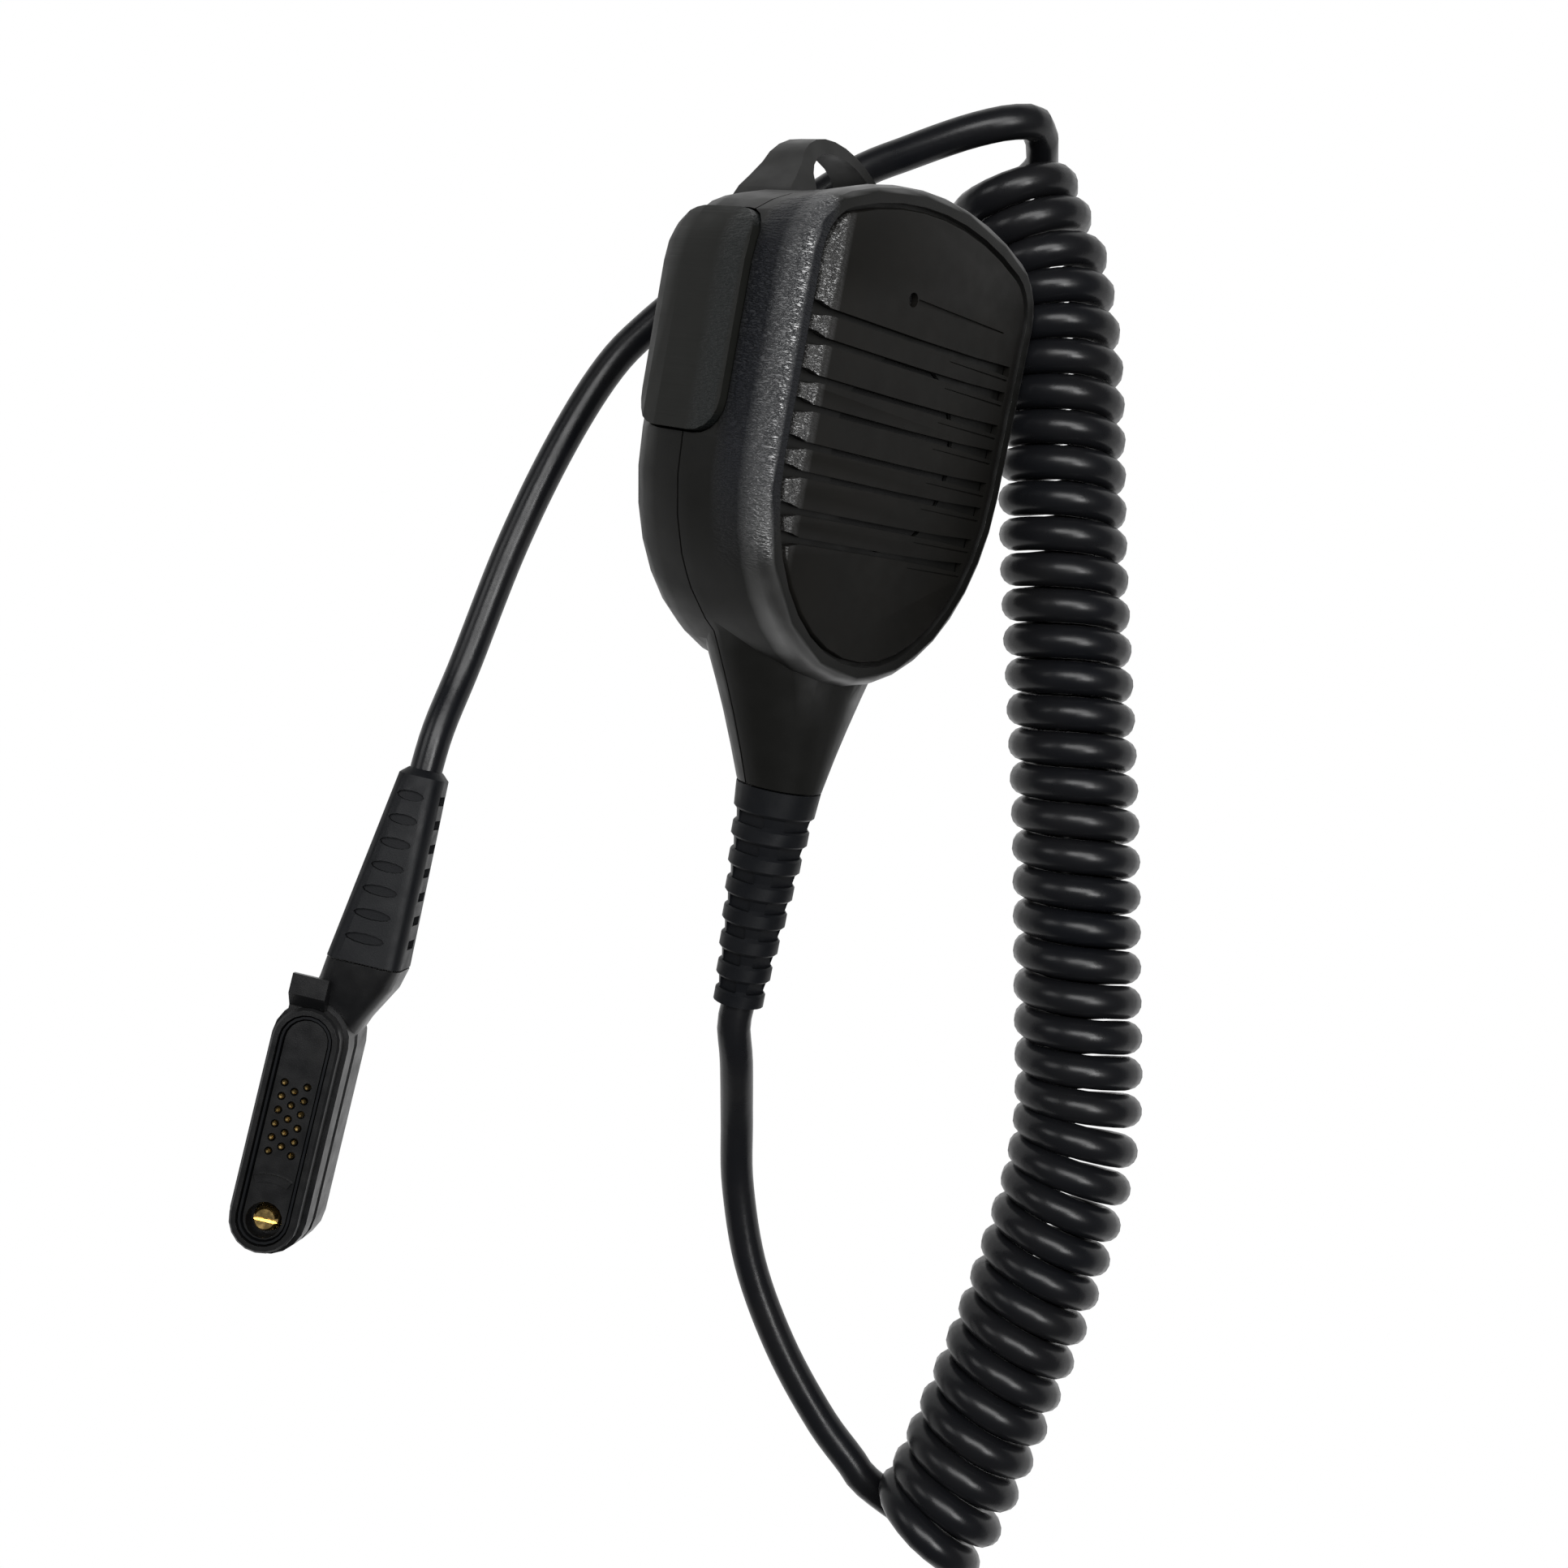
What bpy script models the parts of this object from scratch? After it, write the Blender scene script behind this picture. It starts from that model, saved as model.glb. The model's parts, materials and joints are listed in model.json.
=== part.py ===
"""Remote speaker microphone: a hand microphone with a press-to-talk key, a swivel clip and a curly cord.

Metres, +Z up. The microphone lies on a flat surface at z = 0, rolled onto its right back edge and
its clip, so that the press-to-talk side looks up. Its long axis runs along +Y and rises slightly.
The microphone itself is drawn in its own local frame, under the empty microphone_pose:
x to its right as seen from the front, y towards its top, z out of its front face, which is at z = 0.
"""
import math

import bmesh
import bpy
from mathutils import Matrix, Vector

for leftover in list(bpy.data.objects):
    bpy.data.objects.remove(leftover, do_unlink=True)

# ---------------------------------------------------------------- driving dimensions
GAP = 0.0003                    # clearance between touching pieces

# pose of the microphone on the surface
ROLL = math.radians(51.0)       # about its long axis, left side up
PITCH = math.radians(9.0)       # top end up
MIC_ORIGIN = (0.0116, 0.0215, 0.0400)

# housing
HALF_WIDTH = 0.031              # at the parting plane
TOP_Y = 0.0362                  # crown of the outline
CROWN_LIFT = 0.0033             # how much less the crown draws in at the front face
LOW_Y = -0.004                  # where the sides start to taper
LOW_LENGTH = 0.0345             # from LOW_Y down to the chin
CORNER_RADIUS = 0.0125          # upper corners of the outline
CROWN_RADIUS = 0.0623           # shallow arc across the top
BACK_Z = -0.030
BACK_RADIUS = 0.009
PARTING_Z = -0.0162
PARTING_LINE = ((-0.060, -0.0122), (-0.036, -0.0150), (-0.024, PARTING_Z), (0.0235, PARTING_Z),
                (0.0330, -0.0100), (0.0500, -0.0085))
WALL = 0.002
FACE_INSET = 0.0031             # front face edge, in from the widest outline
WINDOW_INSET = 0.0045
PANEL_INSET = 0.0052             # leaves a groove round the panel
PANEL_THICKNESS = 0.0011

# neck
NECK_END_Y = -0.0555
NECK_END_RADIUS = 0.007
NECK_CENTRE_Z = -0.0115
NECK_LENGTH = 0.031

# press-to-talk key
KEY_Y = (-0.0035, 0.0285)
KEY_Z = (-0.0265, -0.0093)
KEY_CORNER = 0.005
KEY_PROUD = 0.0012
KEY_DEPTH = 0.0026
KEY_CLEARANCE = 0.00035

# loudspeaker
SPEAKER_Y = -0.001
SPEAKER_RADIUS = 0.017
SPEAKER_OPENING = 0.0150
SOUND_PORT = (-0.0042, 0.0216, 0.0)

# housing screws
SCREW_SPOTS = ((-0.0185, 0.024), (0.0185, 0.024), (-0.0185, -0.020), (0.0185, -0.020))

# clip, in its own frame: z away from the back, y towards the jaw
CLIP_CENTRE_Y = 0.008
CLIP_LEAN = math.radians(28.0)  # how far the jaw is swivelled from straight up, to the left
PIN_Y = 0.001
PIN_Z = 0.0095
CLIP_JAW_Y = 0.0255
CLIP_THUMB_Y = -0.0150

# cord, which runs from the neck through the curly stretch to the plug; the points are in millimetres
CORD_RADIUS = 0.0028
COIL_RADIUS = 0.0108
LOWER_LEAD = (
    (2.7, -69.0, 18.3), (2.7, -73.0, 17.6), (4.2, -79.0, 14.6), (6.2, -90.2, 7.6), (8.5, -102.0, 3.8),
    (13.4, -115.6, 2.9), (21.1, -128.4, 2.9), (30.0, -139.3, 2.9), (36.6, -145.5, 2.9), (40.3, -148.8, 2.9),
)
COIL_AXIS = (
    (49.0, -154.8, 10.9), (51.0, -150.4, 10.9), (53.5, -143.6, 10.9), (57.1, -128.0, 10.9),
    (60.5, -109.9, 10.9), (62.6, -93.0, 10.9), (63.0, -84.0, 10.9), (62.2, -74.5, 10.9),
    (58.2, -54.4, 10.9), (52.7, -27.4, 10.9), (43.2, 12.8, 10.9), (36.3, 45.0, 10.9),
    (31.0, 60.7, 10.9), (27.1, 67.1, 10.9), (22.3, 74.3, 10.9), (21.5, 75.3, 10.9),
)
UPPER_LEAD = (
    (25.1, 82.0, 11.0), (25.0, 82.9, 15.5), (23.4, 82.9, 18.8), (19.5, 81.6, 20.2), (15.0, 79.9, 19.8),
    (10.5, 78.0, 18.6), (4.4, 75.2, 16.4), (-3.2, 71.5, 13.4), (-12.0, 64.5, 10.6), (-22.2, 54.4, 8.2),
    (-34.3, 41.6, 4.6), (-40.4, 32.7, 3.2), (-46.0, 18.2, 2.9), (-51.0, -0.4, 2.9), (-54.9, -21.7, 3.6),
    (-56.9, -34.0, 6.2), (-57.5, -40.7, 6.8),
)

# plug, in its own frame: x across, y towards the boot, z up
PLUG_PLACE = (-0.0680, -0.1046, 0.0)
PLUG_TURN = math.radians(-2.77)
PLUG_HALF_LENGTH = 0.021
PLUG_HALF_WIDTH = 0.0058
PLUG_HEIGHT = 0.0150
BOOT_AXIS_Z = 0.0068

# ---------------------------------------------------------------- materials


def material(name, colour, roughness, metallic=0.0):
    made = bpy.data.materials.new(name)
    made.use_nodes = True
    shader = made.node_tree.nodes["Principled BSDF"]
    shader.inputs["Base Color"].default_value = (*colour, 1.0)
    shader.inputs["Roughness"].default_value = roughness
    shader.inputs["Metallic"].default_value = metallic
    return made


HOUSING = material("housing_plastic", (0.022, 0.022, 0.021), 0.48)
PANEL = material("panel_plastic", (0.026, 0.025, 0.023), 0.36)
KEY = material("key_rubber", (0.028, 0.028, 0.025), 0.55)
RUBBER = material("black_rubber", (0.018, 0.019, 0.021), 0.6)
CORD = material("cord_sheath", (0.020, 0.022, 0.026), 0.42)
CLIP = material("clip_plastic", (0.020, 0.020, 0.020), 0.5)
STEEL = material("steel", (0.55, 0.55, 0.56), 0.3, 1.0)
BRASS = material("gilt_brass", (0.86, 0.62, 0.24), 0.28, 1.0)
BOARD = material("circuit_board_green", (0.03, 0.14, 0.07), 0.5)
CLOTH = material("dust_cloth", (0.02, 0.02, 0.02), 0.9)

# ---------------------------------------------------------------- mesh helpers


def make_object(name, mesh, finish, parent=None, origin=(0.0, 0.0, 0.0)):
    """An object from a mesh drawn in its parent's frame, with its own origin put at a given point."""
    mesh.transform(Matrix.Translation(-Vector(origin)))
    made = bpy.data.objects.new(name, mesh)
    made.location = origin
    made.parent = parent
    if finish is not None:
        mesh.materials.append(finish)
    bpy.context.scene.collection.objects.link(made)
    return made


def finish_mesh(name, bm, smooth_angle=math.radians(32)):
    bmesh.ops.recalc_face_normals(bm, faces=bm.faces)
    mesh = bpy.data.meshes.new(name)
    bm.to_mesh(mesh)
    bm.free()
    mesh.shade_smooth()
    mesh.set_sharp_from_angle(angle=smooth_angle)
    return mesh


def add_rings(bm, rings, closed=False):
    """A closed tube through rings of equal size; flat end faces unless it closes on itself."""
    loops = [[bm.verts.new(point) for point in ring] for ring in rings]
    pairs = list(zip(loops, loops[1:]))
    if closed:
        pairs.append((loops[-1], loops[0]))
    for lower, upper in pairs:
        count = len(lower)
        for i in range(count):
            j = (i + 1) % count
            bm.faces.new((lower[i], lower[j], upper[j], upper[i]))
    if not closed:
        bm.faces.new(loops[0])
        bm.faces.new(loops[-1])


def ring_mesh(name, rings, closed=False):
    bm = bmesh.new()
    add_rings(bm, rings, closed)
    return finish_mesh(name, bm)


def arc(centre, radii, start, end, steps):
    """Points on an elliptical arc, angles in degrees, both ends included."""
    points = []
    for i in range(steps + 1):
        angle = math.radians(start + (end - start) * i / steps)
        points.append((centre[0] + radii[0] * math.cos(angle), centre[1] + radii[1] * math.sin(angle)))
    return points


def circle(radius, steps, centre=(0.0, 0.0)):
    return arc(centre, (radius, radius), 0.0, 360.0 - 360.0 / steps, steps - 1)


def rounded_rectangle(x, y, radius, steps=4):
    """Outline of a rectangle from x[0], y[0] to x[1], y[1] with round corners."""
    corners = ((x[1], y[0], -90), (x[1], y[1], 0), (x[0], y[1], 90), (x[0], y[0], 180))
    points = []
    for cx, cy, angle in corners:
        mid_x = cx - math.copysign(radius, cx - (x[0] + x[1]) / 2)
        mid_y = cy - math.copysign(radius, cy - (y[0] + y[1]) / 2)
        points += arc((mid_x, mid_y), (radius, radius), angle, angle + 90, steps)
    return points


def prism_mesh(name, outline, low, high, axis="z"):
    """A plane outline pushed along one axis; the outline's two coordinates are the other two."""
    place = {
        "x": lambda a, b, depth: (depth, a, b),
        "y": lambda a, b, depth: (a, depth, b),
        "z": lambda a, b, depth: (a, b, depth),
    }[axis]
    return ring_mesh(name, [[place(a, b, depth) for a, b in outline] for depth in (low, high)])


def turned_mesh(name, profile, steps, axis="z", centre=(0.0, 0.0, 0.0), closed=False):
    """A body of revolution from (radius, distance along the axis) pairs."""
    place = {
        "x": lambda a, b, along: (along, a, b),
        "y": lambda a, b, along: (a, along, b),
        "z": lambda a, b, along: (a, b, along),
    }[axis]
    shift = Vector(centre)
    rings = []
    for radius, along in profile:
        rings.append([Vector(place(a, b, along)) + shift for a, b in circle(radius, steps)])
    return ring_mesh(name, rings, closed)


def joined(name, meshes):
    """Several meshes in one, for use as a cutter or as the operand of a union."""
    bm = bmesh.new()
    for mesh in meshes:
        bm.from_mesh(mesh)
    mesh = bpy.data.meshes.new(name)
    bm.to_mesh(mesh)
    bm.free()
    return mesh


def combine(target, mesh, operation):
    """A Boolean modifier on target, with a hidden helper object as its other body."""
    helper = make_object("helper_" + mesh.name, mesh, None, target.parent)
    helper.hide_render = True
    helper.display_type = "WIRE"
    step = target.modifiers.new(operation.lower(), "BOOLEAN")
    step.operation = operation
    step.solver = "EXACT"
    step.object = helper


def empty(name, parent=None, matrix=None):
    made = bpy.data.objects.new(name, None)
    made.parent = parent
    if matrix is not None:
        made.matrix_local = matrix
    bpy.context.scene.collection.objects.link(made)
    return made


# ---------------------------------------------------------------- the housing's outline and depth


def body_outline(inset, lift=0.0):
    """The housing seen from the front, a given distance inside its widest outline."""
    side = HALF_WIDTH - inset
    crown_centre = TOP_Y + lift - CROWN_RADIUS
    across = HALF_WIDTH - CORNER_RADIUS
    rise = math.sqrt((CROWN_RADIUS - CORNER_RADIUS) ** 2 - across ** 2)
    corner_y = crown_centre + rise
    lean = math.degrees(math.atan2(rise, across))
    corner = CORNER_RADIUS - inset
    crown = CROWN_RADIUS - inset
    points = [(side, LOW_Y)]
    points += arc((across, corner_y), (corner, corner), 0, lean, 5)
    points += arc((0.0, crown_centre), (crown, crown), lean, 180 - lean, 8)[1:-1]
    points += arc((-across, corner_y), (corner, corner), 180 - lean, 180, 5)
    points += arc((0.0, LOW_Y), (side, LOW_LENGTH - inset), 180, 360, 18)[:-1]
    return points


def body_profile(offset):
    """(z, inset, lift) from the front face to the back face, a given distance inside the surface."""
    levels = [
        (-offset, FACE_INSET + 0.7 * offset, CROWN_LIFT),
        (-0.0003 - offset, 0.00235 + 0.8 * offset, CROWN_LIFT - 0.0001),
        (-0.0010 - 0.8 * offset, 0.00175 + 0.9 * offset, CROWN_LIFT - 0.0004),
        (-0.0021 - 0.6 * offset, 0.00125 + 0.95 * offset, CROWN_LIFT - 0.0008),
        (-0.0038 - 0.4 * offset, 0.00085 + offset, CROWN_LIFT - 0.0014),
        (-0.0075, 0.00045 + offset, 0.0009),
        (-0.0140, offset, 0.0),
        (BACK_Z + BACK_RADIUS, offset, 0.0),
    ]
    radius = BACK_RADIUS - offset
    for i in range(1, 6):
        angle = math.radians(90 * i / 5)
        depth = BACK_Z + BACK_RADIUS - radius * math.sin(angle)
        levels.append((depth, offset + radius * (1 - math.cos(angle)), 0.0))
    return levels


def body_mesh(name, offset):
    rings = []
    for z, inset, lift in body_profile(offset):
        rings.append([(x, y, z) for x, y in body_outline(inset, lift)])
    return ring_mesh(name, rings)


def neck_mesh(name, offset, start, end, steps):
    """The flared neck below the housing, from distance start to end above its lower face."""
    rings = []
    for i in range(steps + 1):
        along = start + (end - start) * i / steps
        rise = max(along, 0.0)
        wide = NECK_END_RADIUS + 0.36 * rise + 4.5 * rise ** 2 - offset
        deep = NECK_END_RADIUS + 0.22 * rise - offset
        centre_z = NECK_CENTRE_Z - 0.115 * rise
        ring = arc((0.0, centre_z), (wide, deep), 0, 348.75, 31)
        rings.append([(x, NECK_END_Y + along, z) for x, z in ring])
    return ring_mesh(name, rings)


def key_prism(name, clearance, depth=(-0.040, -0.0245)):
    """Rounded block across the left side, in the outline of the press-to-talk key."""
    y = (KEY_Y[0] - clearance, KEY_Y[1] + clearance)
    z = (KEY_Z[0] - clearance, KEY_Z[1] + clearance)
    return prism_mesh(name, rounded_rectangle(y, z, KEY_CORNER + clearance, 5), *depth, axis="x")


def beyond_parting(name, shift, far):
    """Everything on one side of the parting line, which runs forward over the crown and the neck."""
    outline = [(y, z + shift) for y, z in PARTING_LINE]
    outline += [(0.0600, outline[-1][1]), (0.0600, far), (-0.0700, far), (-0.0700, outline[0][1])]
    return prism_mesh(name, outline, -0.05, 0.05, axis="x")


def posts(name, radius, low, high, steps=16):
    return joined(name, [
        turned_mesh(name, [(radius, low), (radius, high)], steps, centre=(x, y, 0.0))
        for x, y in SCREW_SPOTS
    ])


# ---------------------------------------------------------------- housing


def front_shell(pose):
    shell = make_object("front_shell", body_mesh("front_shell", 0.0), HOUSING, pose)
    combine(shell, neck_mesh("front_neck", 0.0, 0.0, NECK_LENGTH, 6), "UNION")
    combine(shell, body_mesh("front_cavity", WALL), "DIFFERENCE")
    combine(shell, neck_mesh("front_bore", WALL, -0.001, 0.024, 5), "DIFFERENCE")
    combine(shell, beyond_parting("behind_parting", GAP / 2, -0.05), "DIFFERENCE")
    combine(shell, posts("front_posts", 0.0026, -0.0185, -WALL + 0.0005), "UNION")
    combine(shell, posts("front_post_holes", 0.0015, -0.0200, -0.0060, 12), "DIFFERENCE")
    recess = prism_mesh("panel_recess", body_outline(WINDOW_INSET, CROWN_LIFT), -PANEL_THICKNESS - GAP, 0.002)
    combine(shell, recess, "DIFFERENCE")
    openings = [
        turned_mesh("speaker_opening", [(SPEAKER_OPENING, -0.004), (SPEAKER_OPENING, -0.0008)], 32,
                    centre=(0.0, SPEAKER_Y, 0.0)),
        turned_mesh("sound_opening", [(0.0014, -0.004), (0.0014, -0.0008)], 12, centre=SOUND_PORT),
    ]
    combine(shell, joined("panel_openings", openings), "DIFFERENCE")
    combine(shell, key_prism("front_key_opening", KEY_CLEARANCE), "DIFFERENCE")


def back_shell(pose):
    shell = make_object("back_shell", body_mesh("back_shell", 0.0), HOUSING, pose)
    combine(shell, neck_mesh("back_neck", 0.0, 0.0, NECK_LENGTH, 6), "UNION")
    combine(shell, body_mesh("back_cavity", WALL), "DIFFERENCE")
    combine(shell, neck_mesh("back_bore", WALL, -0.001, 0.024, 5), "DIFFERENCE")
    combine(shell, beyond_parting("before_parting", -GAP / 2, 0.02), "DIFFERENCE")
    combine(shell, hanging_eye(), "UNION")
    combine(shell, posts("back_posts", 0.0040, BACK_Z + 0.0012, -0.0188), "UNION")
    combine(shell, posts("back_post_holes", 0.0016, -0.0290, -0.0150, 12), "DIFFERENCE")
    combine(shell, posts("screw_head_pockets", 0.0028, -0.0320, -0.0272, 16), "DIFFERENCE")
    boss = turned_mesh("swivel_boss", [(0.0095, -0.0312), (0.0095, -0.0262)], 32,
                       centre=(0.0, CLIP_CENTRE_Y, 0.0))
    combine(shell, boss, "UNION")
    bore = turned_mesh("swivel_bore", [(0.0025, -0.0330), (0.0025, -0.0250)], 20,
                       centre=(0.0, CLIP_CENTRE_Y, 0.0))
    combine(shell, bore, "DIFFERENCE")
    combine(shell, key_prism("back_key_opening", KEY_CLEARANCE), "DIFFERENCE")


def hanging_eye():
    """The arch on top of the back shell that the microphone hangs by; it thins towards its top."""
    foot_y, top_y, back = 0.0316, 0.0454, -0.0295
    flare = [(0.0166, foot_y), (0.0146, 0.0349), (0.0126, 0.0370)]
    outer = flare + arc((0.0, 0.0360), (0.0112, 0.0094), 22, 158, 10)
    outer += [(-x, y) for x, y in reversed(flare)]
    waist = [(0.0080, foot_y), (0.0080, 0.0345), (0.0080, 0.0360)]
    inner = waist + arc((0.0, 0.0376), (0.0080, 0.0056), 10, 170, 10)
    inner += [(-x, y) for x, y in reversed(waist)]

    def front(y):
        return -0.0170 - 0.0075 * (y - foot_y) / (top_y - foot_y)

    rings = [
        [(x, y, front(y)) for x, y in outer],
        [(x, y, back) for x, y in outer],
        [(x, y, back) for x, y in inner],
        [(x, y, front(y)) for x, y in inner],
    ]
    bm = bmesh.new()
    loops = [[bm.verts.new(point) for point in ring] for ring in rings]
    for first, second in zip(loops, loops[1:] + loops[:1]):
        for i in range(len(first) - 1):
            bm.faces.new((first[i], first[i + 1], second[i + 1], second[i]))
    for i in (0, len(outer) - 1):
        bm.faces.new([loop[i] for loop in loops])
    return finish_mesh("hanging_eye", bm)


def grille_panel(pose):
    rings = []
    for z, inset in ((-PANEL_THICKNESS, 0.0), (-0.0004, 0.0), (-0.0001, 0.0002), (0.0, 0.0005)):
        rings.append([(x, y, z) for x, y in body_outline(PANEL_INSET + inset, CROWN_LIFT)])
    panel = make_object("grille_panel", ring_mesh("grille_panel", rings), PANEL, pose)
    slots = []
    for y, edge in louvre_rows():
        slots.append(prism_mesh("slot", louvre(y, edge), -0.003, 0.002))
        thin = [(0.3 * edge, y - 0.0013), (edge - 0.0018, y - 0.0013), (edge - 0.0018, y - 0.0016),
                (0.3 * edge, y - 0.0014)]
        slots.append(prism_mesh("thin_slot", thin, -0.0005, 0.002))
    port = turned_mesh("sound_port", [(0.0011, -0.003), (0.0011, 0.002)], 12, centre=SOUND_PORT)
    trail = [(-0.0029, 0.0212), (0.0205, 0.0215), (0.0205, 0.0217), (-0.0029, 0.0220)]
    slots.append(prism_mesh("port_trail", trail, -0.0005, 0.002))
    combine(panel, joined("louvre_slots", slots + [port]), "DIFFERENCE")


def louvre(y, edge):
    """A slot that bites into the left rim, thins towards the middle and ends broad on the right."""
    profile = ((-edge - 0.0010, 0.0011), (-edge + 0.0012, 0.0010), (-edge + 0.0034, 0.0005),
               (0.0, 0.0004), (0.55 * edge, 0.0005), (edge - 0.0016, 0.0008))
    upper = [(x, y + half) for x, half in profile]
    return upper + [(x, y - half) for x, half in reversed(profile)]


def louvre_rows():
    """Four pairs of slots over the loudspeaker, each as (y, half the panel's width there)."""
    rows = []
    for pair in range(4):
        for y in (0.0161 - 0.0094 * pair, 0.0120 - 0.0094 * pair):
            drop = max(0.0, LOW_Y - y) / (LOW_LENGTH - PANEL_INSET)
            rows.append((y, (HALF_WIDTH - PANEL_INSET) * math.sqrt(1 - drop ** 2)))
    return rows


def housing_screws(pose):
    profile = [(0.0024, -0.0296), (0.0024, -0.0276), (0.0012, -0.0276), (0.0012, -0.0075)]
    for number, (x, y) in enumerate(SCREW_SPOTS, start=1):
        mesh = turned_mesh("housing_screw", profile, 16, centre=(x, y, 0.0))
        make_object(f"housing_screw_{number}", mesh, STEEL, pose)


# ---------------------------------------------------------------- inside the housing


def loudspeaker(pose):
    centre = (0.0, SPEAKER_Y, 0.0)
    felt = prism_mesh("dust_felt", circle(SPEAKER_RADIUS + 0.0015, 32, (0.0, SPEAKER_Y)), -0.0028, -0.0024)
    make_object("dust_felt", felt, CLOTH, pose)
    outer = SPEAKER_RADIUS
    gasket = [(outer, -0.0031), (outer, -0.0041), (outer - 0.0022, -0.0041), (outer - 0.0022, -0.0031)]
    make_object("speaker_gasket", turned_mesh("gasket", gasket, 32, centre=centre, closed=True), RUBBER, pose)
    frame = [
        (outer, -0.0044), (outer, -0.0052), (0.0138, -0.0056), (0.0090, -0.0106), (0.0074, -0.0106),
        (0.0074, -0.0098), (0.0086, -0.0098), (0.0132, -0.0050), (0.0152, -0.0044),
    ]
    make_object("speaker_frame", turned_mesh("frame", frame, 32, centre=centre, closed=True), STEEL, pose)
    cone = [
        (0.0001, -0.0062), (0.0040, -0.0068), (0.0118, -0.0042), (0.0136, -0.0034), (0.0144, -0.0040),
        (0.0144, -0.0046), (0.0136, -0.0040), (0.0120, -0.0048), (0.0042, -0.0076), (0.0001, -0.0070),
    ]
    make_object("speaker_cone", turned_mesh("cone", cone, 32, centre=centre), CLOTH, pose)
    magnet = [(0.0088, -0.0109), (0.0088, -0.0136)]
    make_object("speaker_magnet", turned_mesh("magnet", magnet, 24, centre=centre), STEEL, pose)


def electronics(pose):
    board = prism_mesh("board", rounded_rectangle((-0.0138, 0.0138), (-0.027, 0.0285), 0.002, 2),
                       -0.0172, -0.0160)
    make_object("circuit_board", board, BOARD, pose)
    header = prism_mesh("header", rounded_rectangle((-0.0045, 0.0045), (-0.0255, -0.0205), 0.0005, 1),
                        -0.0210, -0.0175)
    make_object("cord_header", header, PANEL, pose)
    capsule = [(0.0029, -0.0030), (0.0029, -0.0056)]
    make_object("mic_capsule", turned_mesh("capsule", capsule, 20, centre=SOUND_PORT), STEEL, pose)
    boot = [
        (0.0040, -0.0024), (0.0040, -0.0068), (0.0001, -0.0068), (0.0001, -0.0059),
        (0.0032, -0.0059), (0.0032, -0.0024),
    ]
    make_object("mic_boot", turned_mesh("mic_boot", boot, 20, centre=SOUND_PORT, closed=True), RUBBER, pose)


def key_assembly(pose):
    origin = (-HALF_WIDTH, sum(KEY_Y) / 2, sum(KEY_Z) / 2)
    key = make_object("ptt_button", body_mesh("ptt_button", -KEY_PROUD), KEY, pose, origin)
    combine(key, body_mesh("key_inside", KEY_DEPTH), "DIFFERENCE")
    combine(key, key_prism("key_outline", 0.0, (-0.040, -0.0260)), "INTERSECT")
    seal = make_object("ptt_seal", body_mesh("ptt_seal", 0.0040), RUBBER, pose)
    combine(seal, body_mesh("seal_inside", 0.0049), "DIFFERENCE")
    combine(seal, key_prism("seal_outline", 0.0004), "INTERSECT")
    bracket = prism_mesh("ptt_bracket", rounded_rectangle((-0.001, 0.0195), (-0.0225, -0.0105), 0.001, 2),
                         -0.0236, -0.0226, axis="x")
    make_object("ptt_bracket", bracket, PANEL, pose)
    switch = prism_mesh("ptt_switch", rounded_rectangle((0.0065, 0.0125), (-0.0195, -0.0135), 0.0008, 2),
                        -0.0255, -0.0239, axis="x")
    make_object("ptt_switch", switch, STEEL, pose)


def neck_parts(pose):
    centre = (0.0, 0.0, NECK_CENTRE_Z)
    top = NECK_END_Y - GAP
    profile = [(0.0044, NECK_END_Y + 0.0045), (0.0044, top), (NECK_END_RADIUS, top)]
    ribs = 7
    collar, length, tip_radius = 0.0040, 0.0366, 0.0042
    pitch = (length - collar) / ribs
    for rib in range(ribs):
        start = top - collar - pitch * rib
        radius = NECK_END_RADIUS + (tip_radius - NECK_END_RADIUS) * (collar + pitch * rib) / length
        next_radius = radius + (tip_radius - NECK_END_RADIUS) * pitch / length
        profile += [(radius, start), (radius - 0.0006, start - 0.0006)]
        profile += [(next_radius - 0.0005, start - 0.0021), (next_radius, start - 0.0027)]
    profile.append((tip_radius, top - length))
    relief = turned_mesh("relief", profile, 24, axis="y", centre=centre)
    relief_node = make_object("neck_strain_relief", relief, RUBBER, pose)
    windows = []
    for rib in range(ribs):
        y = top - collar - pitch * rib - 0.00135
        near = NECK_END_RADIUS + (tip_radius - NECK_END_RADIUS) * (top - y) / length
        box = [(-0.48 * near, y - 0.0010), (0.48 * near, y - 0.0010), (0.48 * near, y + 0.0010),
               (-0.48 * near, y + 0.0010)]
        for side in (1, -1):
            depths = sorted((NECK_CENTRE_Z + side * (near - 0.0015), NECK_CENTRE_Z + side * 0.0100))
            windows.append(prism_mesh("window", box, *depths))
            across = [(y - 0.0010, NECK_CENTRE_Z - 0.4 * near), (y + 0.0010, NECK_CENTRE_Z - 0.4 * near),
                      (y + 0.0010, NECK_CENTRE_Z + 0.4 * near), (y - 0.0010, NECK_CENTRE_Z + 0.4 * near)]
            reach = sorted((side * (near - 0.0015), side * 0.0100))
            windows.append(prism_mesh("window", across, *reach, axis="x"))
    combine(relief_node, joined("relief_windows", windows), "DIFFERENCE")
    tail = [(0.0022, NECK_END_Y + 0.0048), (0.0022, -0.0310)]
    make_object("cord_tail", turned_mesh("tail", tail, 16, axis="y", centre=centre), CORD, pose)
    clamp = [(0.0048, -0.0480), (0.0048, -0.0430), (0.0025, -0.0430), (0.0025, -0.0480)]
    clamp_mesh = turned_mesh("clamp", clamp, 20, axis="y", centre=centre, closed=True)
    make_object("cord_clamp", clamp_mesh, STEEL, pose)


# ---------------------------------------------------------------- clip


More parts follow.
